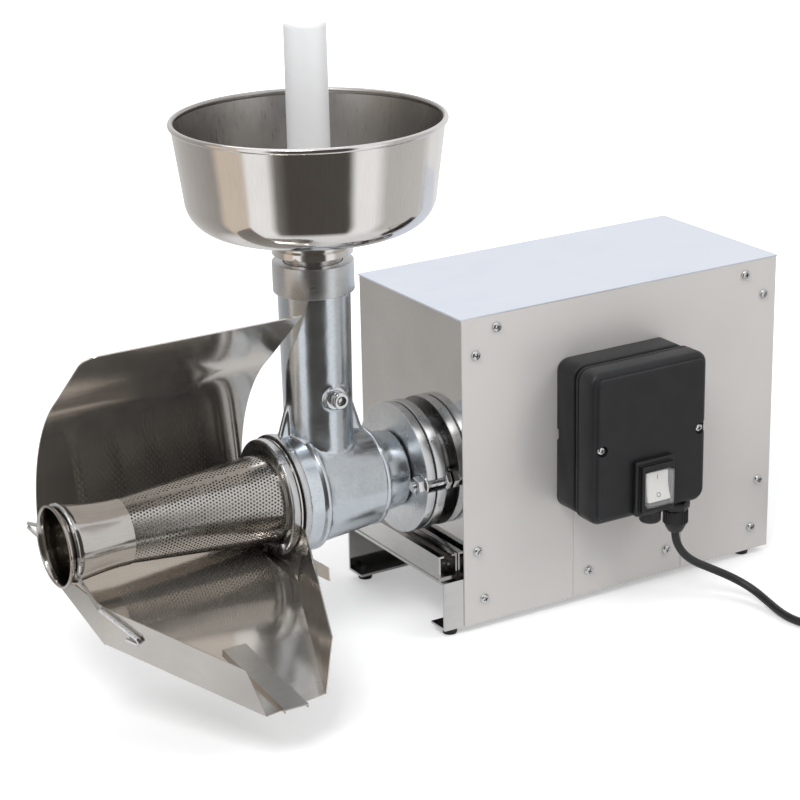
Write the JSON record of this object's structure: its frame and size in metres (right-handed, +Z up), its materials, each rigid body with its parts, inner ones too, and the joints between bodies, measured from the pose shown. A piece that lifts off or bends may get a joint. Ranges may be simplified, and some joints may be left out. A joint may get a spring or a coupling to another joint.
{
  "type": "electric tomato strainer",
  "caption": "Bench machine that turns tomatoes into juice: polished motor housing, cast straining body, perforated cone, hopper with pestle and sheet tray.",
  "frame": {"origin": "on the surface that the feet stand on, below the middle of the machine without its cord", "axes": "+X along the straining axis toward the motor, +Z up, the switch on the -Y side"},
  "size_m": [0.7389, 0.3282, 0.4778],
  "materials": {
    "chassis_sheet": "folded bright sheet, lightly worn",
    "polished_sheet": "mirror polished stainless sheet",
    "bright_steel": "bright plated steel",
    "machined_steel": "machined steel",
    "cast_aluminium": "as cast",
    "turned_flange": "turned casting, satin",
    "tinned_casting": "tinned and smoothed casting",
    "perforated_sheet": "perforated stainless sheet",
    "cup_steel": "spun stainless sheet, satin",
    "tray_sheet": "folded stainless sheet, satin",
    "hopper_sheet": "pressed stainless sheet, polished outside",
    "motor_paint": "grey enamel",
    "copper_winding": "varnished winding and laminations",
    "bronze": "sintered bronze",
    "black_rubber": "black rubber",
    "black_plastic": "fine textured black plastic",
    "white_plastic": "white food grade plastic",
    "auger_plastic": "off white food grade plastic",
    "rocker_plastic": "off white glossy plastic",
    "clear_cap": "clear soft cap",
    "cord_sheath": "black mains cord sheath"
  },
  "bodies": {
    "machine": {"chassis": "chassis_sheet", "rubber_feet": "black_rubber", "cross_rail": "chassis_sheet", "rail_rivets": "bright_steel", "near_side_panel": "polished_sheet", "far_side_panel": "polished_sheet", "top_cover": "polished_sheet", "strainer_end_panel": "polished_sheet", "fan_end_panel": "polished_sheet", "switch_plate": "polished_sheet", "panel_screws": "bright_steel", "gearbox_case": "cast_aluminium", "gearbox_cover": "cast_aluminium", "idler_shaft": "machined_steel", "output_bearings": "bright_steel", "shaft_seal": "black_rubber", "motor_shell": "motor_paint", "motor_stator": "copper_winding", "motor_front_shield": "cast_aluminium", "motor_rear_shield": "cast_aluminium", "motor_bearings": "bright_steel", "motor_saddle": "cast_aluminium", "run_capacitor": "white_plastic", "capacitor_strap": "bright_steel", "drive_flange": "turned_flange", "flange_gasket": "black_rubber", "clamp_bolts": "bright_steel", "clamp_nuts": "bright_steel", "strainer_body": "tinned_casting", "body_bush": "bronze", "filter_gasket": "black_rubber", "hopper_lock_screw": "bright_steel", "switch_box_base": "black_plastic", "switch_box_lid": "black_plastic", "lid_screws": "bright_steel", "rocker_frame": "black_plastic", "rocker_cap": "clear_cap", "cable_gland": "black_plastic", "blanking_plug": "black_plastic", "power_cord": "cord_sheath", "cord_coil": "cord_sheath", "plug": "black_plastic"},
    "rotor_group": {"rotor": "machined_steel", "cooling_fan": "black_plastic"},
    "idler_group": {"idler_gear": "machined_steel"},
    "auger_group": {"output_gear": "machined_steel", "output_shaft": "machined_steel", "auger": "auger_plastic"},
    "hopper_group": {"hopper_bowl": "hopper_sheet", "hopper_neck": "hopper_sheet"},
    "pestle_group": {"pestle": "white_plastic"},
    "rocker_group": {"rocker": "rocker_plastic"},
    "filter_group": {"filter_cone": "perforated_sheet", "outlet_cup": "cup_steel", "collar_ring": "tinned_casting", "splash_tray": "tray_sheet", "tray_left_wall": "tray_sheet", "tray_right_wall": "tray_sheet", "spout_strip": "tray_sheet", "retaining_wire": "bright_steel"}
  },
  "joints": [
    {"name": "rotor_spin", "type": "hinge", "parent": "machine", "child": "rotor_group", "pos_m": [0, 0.0384, 0.123], "axis": [1, 0, 0], "continuous": true},
    {"name": "idler_spin", "type": "hinge", "parent": "machine", "child": "idler_group", "pos_m": [0, 0.0384, 0.1755], "axis": [1, 0, 0], "continuous": true},
    {"name": "auger_spin", "type": "hinge", "parent": "machine", "child": "auger_group", "pos_m": [0, 0.0384, 0.123], "axis": [1, 0, 0], "continuous": true},
    {"name": "hopper_lift", "type": "slide", "parent": "machine", "child": "hopper_group", "axis": [0, 0, 1], "range_m": [0, 0.12]},
    {"name": "pestle_lift", "type": "slide", "parent": "machine", "child": "pestle_group", "axis": [0, 0, 1], "range_m": [0, 0.25]},
    {"name": "rocker_tilt", "type": "hinge", "parent": "machine", "child": "rocker_group", "pos_m": [0.14325, -0.0796, 0.112], "axis": [1, 0, 0], "range_deg": [0, 16]},
    {"name": "filter_pull", "type": "slide", "parent": "machine", "child": "filter_group", "axis": [-1, 0, 0], "range_m": [0, 0.14]}
  ],
  "couplings": [
    {"joint": "idler_spin", "follows": "rotor_spin", "ratio": -0.25},
    {"joint": "auger_spin", "follows": "rotor_spin", "ratio": 0.0625}
  ]
}
